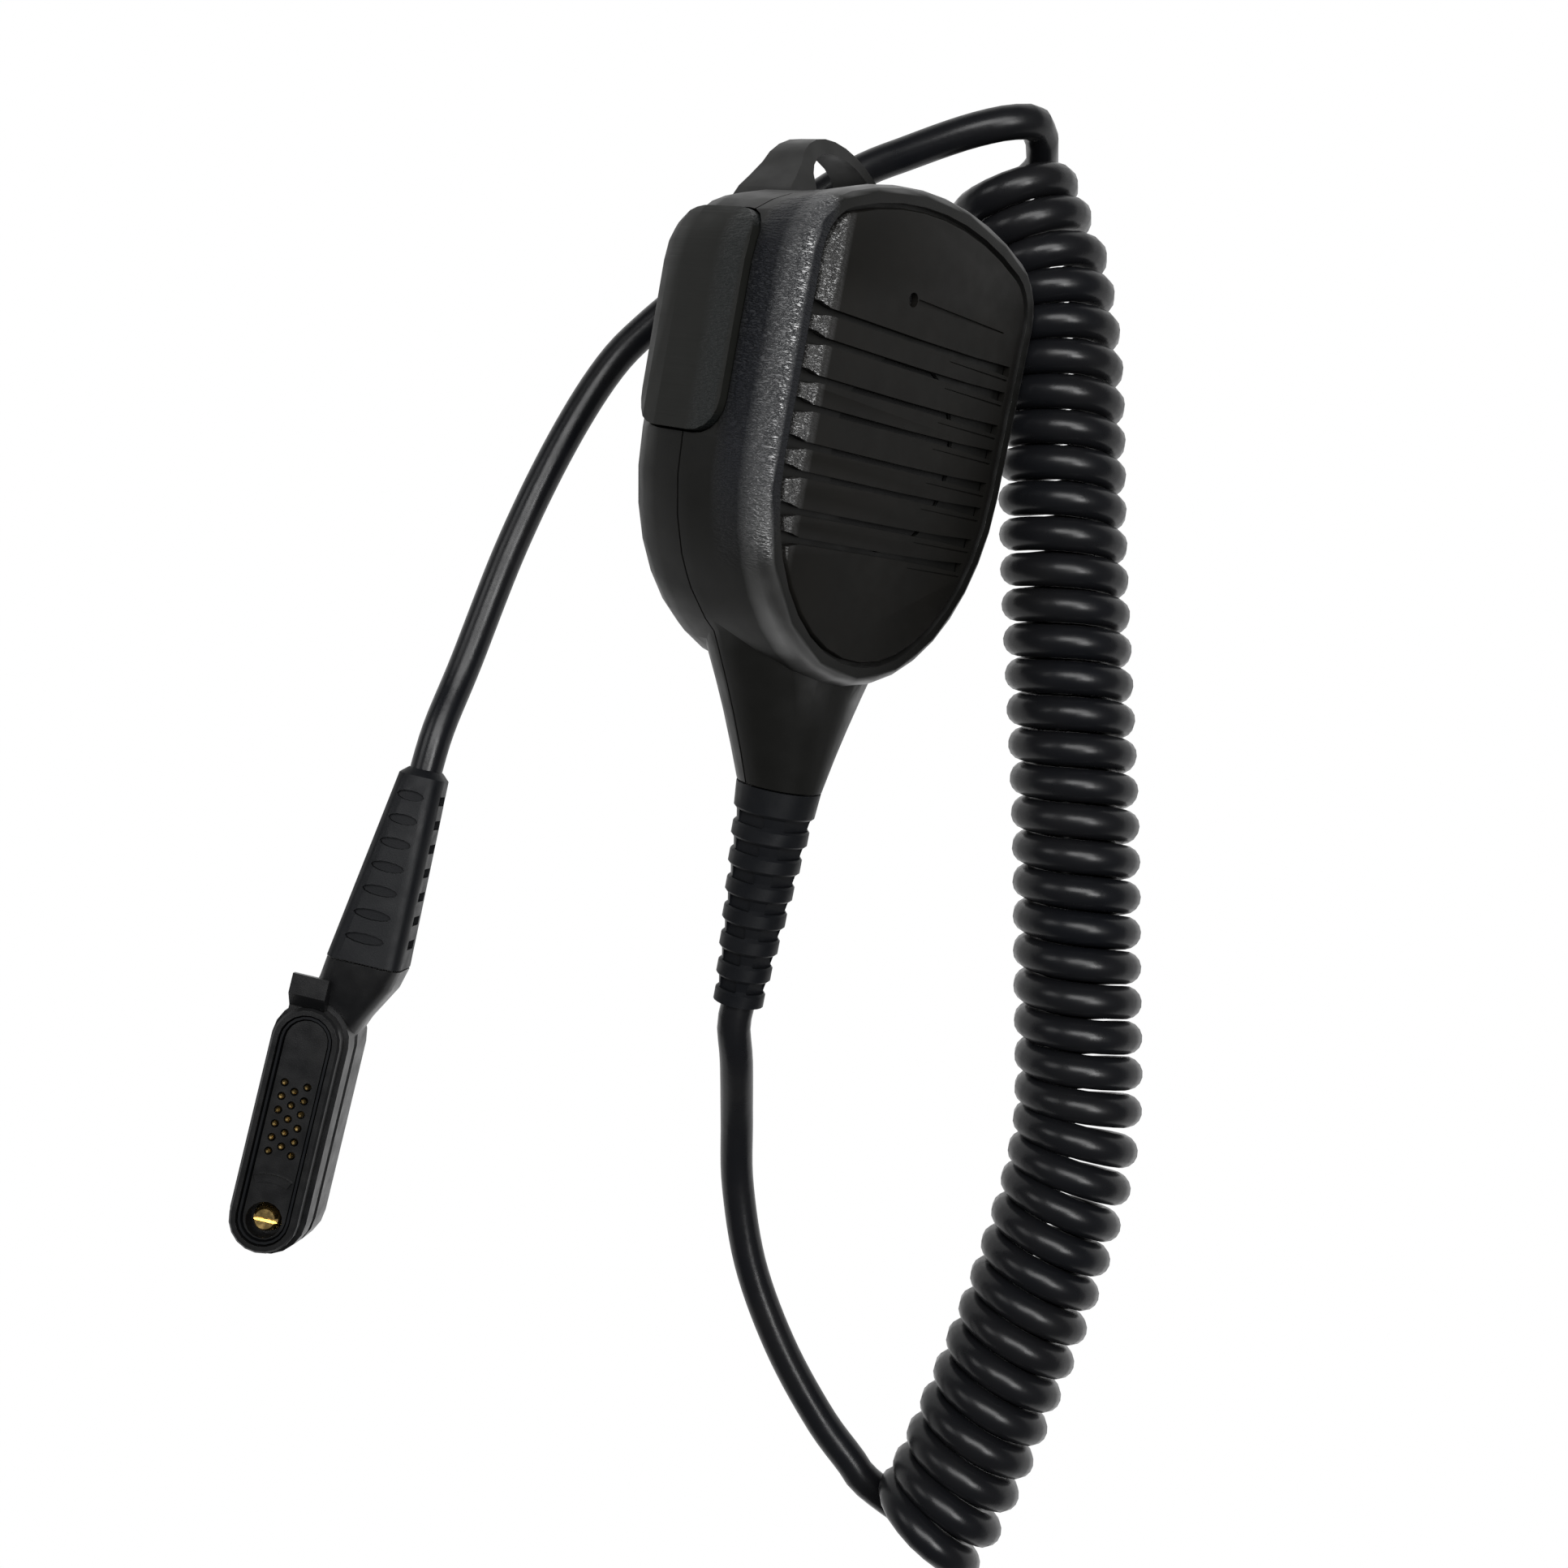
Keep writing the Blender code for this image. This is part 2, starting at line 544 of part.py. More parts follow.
def clip_base(swivel):
    outline = arc((0.0, 0.0), (0.0100, 0.0100), 180, 360, 10)
    outline += [(0.0080, 0.0100), (0.0080, CLIP_JAW_Y - 0.003), (0.0055, CLIP_JAW_Y)]
    outline += [(-0.0055, CLIP_JAW_Y), (-0.0080, CLIP_JAW_Y - 0.003), (-0.0080, 0.0100)]
    base = make_object("clip_base", prism_mesh("clip_base", outline, 0.0027, 0.0048), CLIP, swivel)
    ear = [(PIN_Y - 0.0042, 0.0040), (PIN_Y + 0.0042, 0.0040)]
    ear += arc((PIN_Y, PIN_Z), (0.0030, 0.0030), 0, 180, 8)
    ears = [prism_mesh("ear", ear, side, side + 0.0017, axis="x") for side in (-0.0083, 0.0066)]
    combine(base, joined("clip_ears", ears), "UNION")
    hole = turned_mesh("clip_screw_hole", [(0.0025, 0.0), (0.0025, 0.0070)], 20)
    combine(base, hole, "DIFFERENCE")
    pin_hole = turned_mesh("pin_hole", [(0.0014, -0.0100), (0.0014, 0.0100)], 16, axis="x",
                           centre=(0.0, PIN_Y, PIN_Z))
    combine(base, pin_hole, "DIFFERENCE")


def clip_fasteners(swivel):
    screw = [(0.0022, -0.0035), (0.0022, 0.0051), (0.0036, 0.0051), (0.0036, 0.0061)]
    make_object("clip_screw", turned_mesh("clip_screw", screw, 20), STEEL, swivel)
    washer = [(0.0065, 0.0015), (0.0065, 0.0024), (0.0028, 0.0024), (0.0028, 0.0015)]
    make_object("clip_washer", turned_mesh("clip_washer", washer, 24, closed=True), STEEL, swivel)
    pin = turned_mesh("clip_pin", [(0.0011, -0.0088), (0.0011, 0.0088)], 14, axis="x",
                      centre=(0.0, PIN_Y, PIN_Z))
    make_object("clip_pin", pin, STEEL, swivel)


def clip_lever(hinge):
    """The outer half of the clip, drawn about its pin."""
    thumb = CLIP_THUMB_Y - PIN_Y
    jaw = CLIP_JAW_Y - PIN_Y
    outline = [
        (thumb, 0.0066), (thumb + 0.0050, 0.0038), (-0.0028, -0.0008), (-0.0018, -0.0024),
        (0.0018, -0.0024), (0.0045, -0.0012), (jaw - 0.0060, -0.0026), (jaw - 0.0030, PIN_Z * -0.47),
        (jaw - 0.0008, PIN_Z * -0.47), (jaw, -0.0028), (jaw - 0.0010, -0.0006), (0.0060, 0.0022),
        (0.0, 0.0030), (-0.0050, 0.0044), (thumb + 0.0020, 0.0082), (thumb, 0.0082),
    ]
    lever = make_object("clip_lever", prism_mesh("clip_lever", outline, -0.0062, 0.0062, axis="x"), CLIP, hinge)
    bore = turned_mesh("lever_bore", [(0.0014, -0.0100), (0.0014, 0.0100)], 16, axis="x")
    combine(lever, bore, "DIFFERENCE")


def clip_spring(swivel):
    """A short coil spring between the plate and the thumb end of the lever."""
    low, high, turns, steps = 0.0052, 0.0108, 4, 12
    curve = bpy.data.curves.new("clip_spring", "CURVE")
    curve.dimensions = "3D"
    curve.bevel_depth = 0.00035
    curve.bevel_resolution = 2
    curve.render_resolution_u = 0
    curve.use_fill_caps = True
    spline = curve.splines.new("POLY")
    count = turns * steps
    spline.points.add(count)
    for i in range(count + 1):
        angle = 2 * math.pi * i / steps
        x = 0.0022 * math.cos(angle)
        y = -0.0092 + 0.0022 * math.sin(angle)
        spline.points[i].co = (x, y, low + (high - low) * i / count, 1.0)
    curve.materials.append(STEEL)
    made = bpy.data.objects.new("clip_spring", curve)
    made.parent = swivel
    bpy.context.scene.collection.objects.link(made)


# ---------------------------------------------------------------- plug


def stadium(half_width, half_length, steps=10):
    straight = half_length - half_width
    points = arc((0.0, straight), (half_width, half_width), 0, 180, steps)
    return points + arc((0.0, -straight), (half_width, half_width), 180, 360, steps)


def plug_body(pose):
    rings = []
    for z, grow in ((0.0002, 0.0006), (0.0012, 0.0013), (0.0070, 0.0011), (0.0074, 0.0004),
                    (0.0082, 0.0004), (0.0086, 0.0010), (0.0118, 0.0008), (0.0118, 0.0),
                    (PLUG_HEIGHT - 0.0004, 0.0), (PLUG_HEIGHT, -0.0004)):
        outline = stadium(PLUG_HALF_WIDTH + grow, PLUG_HALF_LENGTH + grow)
        rings.append([(x, y, z) for x, y in outline])
    body = make_object("plug_body", ring_mesh("plug_body", rings), PANEL, pose)
    shoulder = []
    for y, x, wide, low, high in (
            (0.0130, 0.0000, 0.0050, 0.0010, 0.0095), (0.0200, 0.0022, 0.0055, 0.0006, 0.0112),
            (0.0260, 0.0048, 0.0062, 0.0004, 0.0126), (0.0296, 0.0055, 0.0064, 0.0004, 0.0130)):
        outline = rounded_rectangle((x - wide, x + wide), (low, high), 0.0028, 3)
        shoulder.append([(a, y, b) for a, b in outline])
    combine(body, ring_mesh("plug_shoulder", shoulder), "UNION")
    hook = [(0.0190, 0.0080), (0.0236, 0.0080), (0.0236, 0.0124), (0.0262, 0.0140), (0.0262, 0.0152),
            (0.0228, 0.0152), (0.0205, 0.0128), (0.0190, 0.0128)]
    combine(body, prism_mesh("plug_hook", hook, -0.0046, 0.0016, axis="x"), "UNION")
    pocket = stadium(0.0046, 0.0198)
    combine(body, prism_mesh("contact_pocket", pocket, PLUG_HEIGHT - 0.0042, 0.02), "DIFFERENCE")
    screw_hole = turned_mesh("plug_screw_hole", [(0.0026, -0.001), (0.0026, 0.0130)], 16,
                             centre=(0.0, -0.0155, 0.0))
    combine(body, screw_hole, "DIFFERENCE")
    head_pocket = turned_mesh("plug_head_pocket", [(0.0042, -0.001), (0.0042, 0.0050)], 20,
                              centre=(0.0, -0.0155, 0.0))
    combine(body, head_pocket, "DIFFERENCE")


def plug_contacts(pose):
    top = PLUG_HEIGHT - 0.0009
    low = PLUG_HEIGHT - 0.0039
    block = make_object("contact_block", prism_mesh("contact_block", stadium(0.0036, 0.0188), low, top),
                        PANEL, pose)
    holes = [turned_mesh("hole", [(0.00072, low - 0.001), (0.00072, top + 0.001)], 10, centre=(x, y, 0.0))
             for x, y in contact_spots()]
    screw_hole = turned_mesh("block_screw_hole", [(0.0031, low - 0.001), (0.0031, top + 0.001)], 16,
                             centre=(0.0, -0.0155, 0.0))
    combine(block, joined("contact_holes", holes + [screw_hole]), "DIFFERENCE")
    centre = (0.0, -0.0155)
    boss = arc(centre, (0.0078, 0.0078), 66, 114, 8) + arc(centre, (0.0066, 0.0066), 114, 66, 8)
    combine(block, prism_mesh("contact_boss", boss, top - 0.0005, top + 0.0007), "UNION")
    ring = []
    for grow, z in ((0.0002, top - 0.0016), (0.0002, top + 0.0005), (0.0006, top + 0.0005),
                    (0.0006, top - 0.0016)):
        outline = stadium(0.0037 + grow, 0.0189 + grow)
        ring.append([(x, y, z) for x, y in outline])
    make_object("plug_gasket", ring_mesh("plug_gasket", ring, closed=True), RUBBER, pose)
    pin = [(0.00042, low + 0.0007), (0.00042, top + 0.0003), (0.0002, top + 0.0006)]
    for number, (x, y) in enumerate(contact_spots(), start=1):
        spot = (x, y, 0.0)
        mesh = turned_mesh("contact_pin", pin, 8, centre=spot)
        make_object(f"contact_pin_{number:02d}", mesh, BRASS, pose, spot)


def contact_spots():
    """Three staggered columns of spring pins."""
    spots = []
    for column, count in ((-1, 6), (0, 5), (1, 6)):
        for row in range(count):
            shift = 0.00118 if column == 0 else 0.0
            spots.append((0.00195 * column, 0.0078 - 0.00236 * row - shift))
    return spots


def plug_screw(pose):
    spot = (0.0, -0.0155, 0.0)
    profile = [(0.0038, 0.0006), (0.0038, 0.0046), (0.0021, 0.0046), (0.0021, 0.0130), (0.0017, 0.0136)]
    screw = make_object("plug_screw", turned_mesh("plug_screw", profile, 20, centre=spot), BRASS, pose, spot)
    y = (spot[1] - 0.0004, spot[1] + 0.0004)
    across = [(-0.0050, y[0]), (0.0050, y[0]), (0.0050, y[1]), (-0.0050, y[1])]
    slots = [prism_mesh("tip_slot", across, 0.0129, 0.0150), prism_mesh("head_slot", across, 0.0, 0.0014)]
    combine(screw, joined("screw_slots", slots), "DIFFERENCE")


def plug_boot(pose):
    """The boot behind the plug: square with round edges, with a row of pockets in its top and one side."""
    start, end = 0.0299, 0.0640
    rings = []
    for y, draw in ((start, 0.0), (start + 0.0110, 0.0), (start + 0.0220, 0.0), (end - 0.0012, 0.0),
                    (end, 0.0010)):
        x, wide, high = boot_section(y, start, end)
        outline = rounded_rectangle((x - wide + draw, x + wide - draw),
                                    (BOOT_AXIS_Z - high + draw, BOOT_AXIS_Z + high - draw), 0.0024, 3)
        rings.append([(a, y, b) for a, b in outline])
    boot = make_object("plug_boot", ring_mesh("plug_boot", rings), RUBBER, pose)
    pockets = []
    ribs = 7
    for rib in range(ribs):
        y = start + 0.0042 + 0.0042 * rib
        x, wide, high = boot_section(y, start, end)
        lens = arc((x - 0.1 * wide, y), (0.56 * wide, 0.0009), 0, 330, 11)
        pockets.append(prism_mesh("top_pocket", lens, BOOT_AXIS_Z + high - 0.0011, 0.0200))
        notch = [(x + wide - 0.0009, y - 0.0007), (x + wide + 0.0010, y - 0.0009),
                 (x + wide + 0.0010, y + 0.0009), (x + wide - 0.0009, y + 0.0007)]
        pockets.append(prism_mesh("side_notch", notch, BOOT_AXIS_Z - 0.0022, BOOT_AXIS_Z + 0.0022))
    combine(boot, joined("boot_pockets", pockets), "DIFFERENCE")


def boot_section(y, start, end):
    """Where the middle of the boot is across, and its half width and half height."""
    along = (y - start) / (end - start)
    return 0.0055 + 0.0019 * along, 0.0064 - 0.0025 * along, 0.0062 - 0.0022 * along


# ---------------------------------------------------------------- cord


def smooth_route(points, count):
    """Evenly spaced points on a Catmull-Rom curve through the route's own points."""
    ends = [points[0] * 2 - points[1]] + points + [points[-1] * 2 - points[-2]]
    dense = []
    for i in range(len(points) - 1):
        a, b, c, d = ends[i:i + 4]
        for step in range(24):
            t = step / 24
            dense.append(0.5 * (2 * b + (c - a) * t + (2 * a - 5 * b + 4 * c - d) * t ** 2
                                + (3 * b - a - 3 * c + d) * t ** 3))
    dense.append(points[-1])
    lengths = [0.0]
    for first, second in zip(dense, dense[1:]):
        lengths.append(lengths[-1] + (second - first).length)
    route = []
    j = 0
    for i in range(count):
        wanted = lengths[-1] * i / (count - 1)
        while j < len(dense) - 2 and lengths[j + 1] < wanted:
            j += 1
        part = (wanted - lengths[j]) / max(lengths[j + 1] - lengths[j], 1e-9)
        route.append(dense[j].lerp(dense[j + 1], min(max(part, 0.0), 1.0)))
    return route


def tube(name, points, radius, count, finish, resolution):
    curve = bpy.data.curves.new(name, "CURVE")
    curve.dimensions = "3D"
    curve.bevel_depth = radius
    curve.bevel_resolution = resolution
    curve.render_resolution_u = 0
    curve.use_fill_caps = True
    spline = curve.splines.new("POLY")
    spline.points.add(count - 1)
    route = smooth_route([Vector(point) / 1000 for point in points], count)
    for target, point in zip(spline.points, route):
        target.co = (*point, 1.0)
    curve.materials.append(finish)
    made = bpy.data.objects.new(name, curve)
    bpy.context.scene.collection.objects.link(made)


# ---------------------------------------------------------------- assembly

microphone_pose = empty("microphone_pose")
microphone_pose.rotation_mode = "ZYX"
microphone_pose.rotation_euler = (PITCH, ROLL, 0.0)
microphone_pose.location = MIC_ORIGIN

front_shell(microphone_pose)
back_shell(microphone_pose)
grille_panel(microphone_pose)
housing_screws(microphone_pose)
loudspeaker(microphone_pose)
electronics(microphone_pose)
key_assembly(microphone_pose)
neck_parts(microphone_pose)

lean_cos, lean_sin = math.cos(CLIP_LEAN), math.sin(CLIP_LEAN)
clip_frame = Matrix((
    (-lean_cos, -lean_sin, 0, 0),
    (-lean_sin, lean_cos, 0, CLIP_CENTRE_Y),
    (0, 0, -1, BACK_Z),
    (0, 0, 0, 1),
))
clip_swivel = empty("clip_swivel_axis", microphone_pose, clip_frame)
clip_hinge = empty("clip_hinge_axis", clip_swivel, Matrix.Translation((0.0, PIN_Y, PIN_Z)))
clip_base(clip_swivel)
clip_fasteners(clip_swivel)
clip_spring(clip_swivel)
clip_lever(clip_hinge)

plug_pose = empty("plug_pose", None, Matrix.Translation(PLUG_PLACE) @ Matrix.Rotation(PLUG_TURN, 4, "Z"))
plug_body(plug_pose)
plug_contacts(plug_pose)
plug_screw(plug_pose)
plug_boot(plug_pose)

tube("lead_lower", LOWER_LEAD, CORD_RADIUS, 16, CORD, 3)
tube("cord_coil", COIL_AXIS, COIL_RADIUS, 26, CORD, 4)
tube("lead_upper", UPPER_LEAD, CORD_RADIUS, 40, CORD, 3)
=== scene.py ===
"""Looks for the hand microphone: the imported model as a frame, with a real curly cord and finished surfaces.

Metres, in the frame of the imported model. The cord repeats the route in part.py, apart from the ends of the
coil's axis and of the upper lead, which are set for the helix and for a cord that runs into its boot.
"""
import json
import math

import bpy
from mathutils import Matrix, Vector

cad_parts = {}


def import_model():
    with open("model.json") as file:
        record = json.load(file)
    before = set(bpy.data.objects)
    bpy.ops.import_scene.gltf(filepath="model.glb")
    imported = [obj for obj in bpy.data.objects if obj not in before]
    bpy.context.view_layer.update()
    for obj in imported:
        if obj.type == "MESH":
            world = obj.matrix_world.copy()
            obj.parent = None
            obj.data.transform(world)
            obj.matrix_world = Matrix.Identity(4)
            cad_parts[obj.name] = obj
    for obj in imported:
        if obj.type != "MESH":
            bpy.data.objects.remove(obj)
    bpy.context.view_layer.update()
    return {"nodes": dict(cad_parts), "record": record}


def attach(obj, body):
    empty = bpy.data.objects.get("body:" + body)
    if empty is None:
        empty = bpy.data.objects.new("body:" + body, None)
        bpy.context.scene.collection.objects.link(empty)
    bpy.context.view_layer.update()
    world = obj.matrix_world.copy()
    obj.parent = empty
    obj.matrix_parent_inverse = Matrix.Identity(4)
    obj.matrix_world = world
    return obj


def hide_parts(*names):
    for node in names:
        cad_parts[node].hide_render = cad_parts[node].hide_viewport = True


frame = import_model()

# ---------------------------------------------------------------- pose of the head, as in part.py
ROLL = math.radians(51.0)
PITCH = math.radians(9.0)
HEAD_ORIGIN = Vector((0.0116, 0.0215, 0.0400))
ACROSS = Vector((math.cos(ROLL), math.sin(ROLL) * math.sin(PITCH), -math.sin(ROLL) * math.cos(PITCH)))
ALONG = Vector((0.0, math.cos(PITCH), math.sin(PITCH)))
OUTWARD = ACROSS.cross(ALONG)

# ---------------------------------------------------------------- cord
CORD_RADIUS = 0.0028
COIL_WIRE_RADIUS = 0.0080       # from the coil's axis to the middle of the cord
COIL_START = -90                # degrees from the side of the coil: the first turn starts on the floor
COIL_TURNS = 40.25
POINTS_PER_TURN = 20
POINTS_PER_SPAN = 24            # between two points of a list, before they are spaced evenly
AXIS_SPACING = 0.0005
LEAD_SPACING = 0.0022
SHARED_POINTS = 3               # coil points that a lead's curve runs through as well
TRIMMED_POINTS = 4              # points at that end of the lead's curve that the coil's own points replace
UP = Vector((0.0, 0.0, 1.0))
TINY = 1e-9
LOWER_LEAD = (
    (0.0027, -0.0690, 0.0183), (0.0027, -0.0730, 0.0176), (0.0042, -0.0790, 0.0146),
    (0.0062, -0.0902, 0.0076), (0.0085, -0.1020, 0.0038), (0.0134, -0.1156, 0.0029),
    (0.0211, -0.1284, 0.0029), (0.0300, -0.1393, 0.0029), (0.0366, -0.1455, 0.0029),
    (0.0403, -0.1488, 0.0029),
)
COIL_AXIS = (
    (0.0497, -0.1533, 0.0109), (0.0510, -0.1504, 0.0109), (0.0535, -0.1436, 0.0109),
    (0.0571, -0.1280, 0.0109), (0.0605, -0.1099, 0.0109), (0.0626, -0.0930, 0.0109),
    (0.0630, -0.0840, 0.0109), (0.0622, -0.0745, 0.0109), (0.0582, -0.0544, 0.0109),
    (0.0527, -0.0274, 0.0109), (0.0432, 0.0128, 0.0109), (0.0363, 0.0450, 0.0109),
    (0.0310, 0.0607, 0.0109), (0.0271, 0.0671, 0.0109), (0.0223, 0.0743, 0.0109),
    (0.0206, 0.0766, 0.0110),
)
UPPER_LEAD = (
    (0.0250, 0.0829, 0.0155), (0.0234, 0.0829, 0.0188), (0.0195, 0.0816, 0.0202),
    (0.0150, 0.0799, 0.0198), (0.0105, 0.0780, 0.0186), (0.0044, 0.0752, 0.0164),
    (-0.0032, 0.0715, 0.0134), (-0.0120, 0.0645, 0.0106), (-0.0222, 0.0544, 0.0082),
    (-0.0343, 0.0416, 0.0046), (-0.0404, 0.0327, 0.0032), (-0.0460, 0.0182, 0.0029),
    (-0.0510, -0.0004, 0.0029), (-0.0549, -0.0217, 0.0036), (-0.0569, -0.0340, 0.0062),
    (-0.0578, -0.0445, 0.0068),
)


def smooth_curve(points):
    """Closely spaced points on a Catmull-Rom curve through the given points."""
    points = [Vector(point) for point in points]
    ends = [points[0] * 2 - points[1]] + points + [points[-1] * 2 - points[-2]]
    curve = []
    for i in range(len(points) - 1):
        a, b, c, d = ends[i:i + 4]
        for step in range(POINTS_PER_SPAN):
            t = step / POINTS_PER_SPAN
            curve.append(0.5 * (2 * b + (c - a) * t + (2 * a - 5 * b + 4 * c - d) * t ** 2
                                + (3 * b - a - 3 * c + d) * t ** 3))
    curve.append(points[-1])
    return curve


def smooth_route(points, spacing):
    """Evenly spaced points on a smooth curve through the given points."""
    curve = smooth_curve(points)
    lengths = [0.0]
    for first, second in zip(curve, curve[1:]):
        lengths.append(lengths[-1] + (second - first).length)
    count = max(2, round(lengths[-1] / spacing))
    route = []
    j = 0
    for i in range(count + 1):
        wanted = lengths[-1] * i / count
        while j < len(curve) - 2 and lengths[j + 1] < wanted:
            j += 1
        part = (wanted - lengths[j]) / max(lengths[j + 1] - lengths[j], TINY)
        route.append(curve[j].lerp(curve[j + 1], min(max(part, 0.0), 1.0)))
    return route


def helix():
    """The wound stretch: a left-handed helix round the coil's axis, from its lower end to its upper one."""
    axis = smooth_route(COIL_AXIS, AXIS_SPACING)
    count = round(COIL_TURNS * POINTS_PER_TURN)
    points = []
    for i in range(count + 1):
        spot = (len(axis) - 2) * i / count
        j = min(int(spot), len(axis) - 2)
        centre = axis[j].lerp(axis[j + 1], spot - j)
        side = (axis[j + 1] - axis[j]).normalized().cross(UP)
        angle = math.radians(COIL_START + 360 * COIL_TURNS * i / count)
        points.append(centre + COIL_WIRE_RADIUS * (math.cos(angle) * side + math.sin(angle) * UP))
    return points


def cord_route():
    """The whole cord: the lower lead, the coil and the upper lead, as one line of points."""
    coil = helix()
    into = smooth_route(LOWER_LEAD + tuple(coil[:SHARED_POINTS]), LEAD_SPACING)
    out = smooth_route(tuple(coil[-SHARED_POINTS:]) + UPPER_LEAD, LEAD_SPACING)
    return into[:-TRIMMED_POINTS] + coil[1:-1] + out[TRIMMED_POINTS:]


def build_cord():
    """The cord as one curve, attached to the microphone's body."""
    route = cord_route()
    curve = bpy.data.curves.new("curly_cord", "CURVE")
    curve.dimensions = "3D"
    curve.bevel_depth = 1.0         # times the radius of each point
    curve.bevel_resolution = 6
    curve.render_resolution_u = 0
    curve.use_fill_caps = True
    spline = curve.splines.new("POLY")
    spline.points.add(len(route) - 1)
    for target, point in zip(spline.points, route):
        target.co = (*point, 1.0)
        target.radius = CORD_RADIUS
    cord = bpy.data.objects.new("curly_cord", curve)
    bpy.context.scene.collection.objects.link(cord)
    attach(cord, "microphone")
    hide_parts("lead_lower", "cord_coil", "lead_upper")
    curve.materials.append(FINISH["cord"])


# ---------------------------------------------------------------- materials
NOISE_SPREAD = (0.3, 0.7)       # most of a noise's values lie between these
GRAIN_LEVELS = (0.40, 0.62)     # noise below the first is the floor of the grain, above the second its top
GRAIN_WIDE = 0.0011
GRAIN_TALL = 0.00030
LINE_LENGTH = 0.0400            # longer than the key is wide, so its lines run right across
LINE_PITCH = 0.0011
FACES_ALONG = 0.99              # cosine between a direction and the normal of a surface that faces it
TURNED_AWAY = 0.93              # the same for a surface that has turned away from it

# Each finish fades in on the head between two places, measured from the head's origin along one direction.
# The band is the grained stretch of the housing's left side, which is also painted lighter as a painted
# sheen, and the edge is its front edge, which shines.
BAND_ACROSS = (-0.0245, -0.0262)
BAND_OUTWARD = (-0.0100, -0.0075)
BAND_ALONG = (-0.0230, -0.0060)
EDGE_OUTWARD = (-0.0050, -0.0022)
EDGE_ALONG = (-0.0450, -0.0400)
PANEL_RIM_ACROSS = (-0.0205, -0.0235)
PANEL_RIM_ALONG = (-0.0260, -0.0120)
PANEL_ROUND_ACROSS = (-0.0262, -0.0212)
PANEL_ROUND_DEPTH = 0.0032
KEY_STRIP_BACK = (-0.0150, -0.0125)
KEY_STRIP_FRONT = (-0.0096, -0.0104)


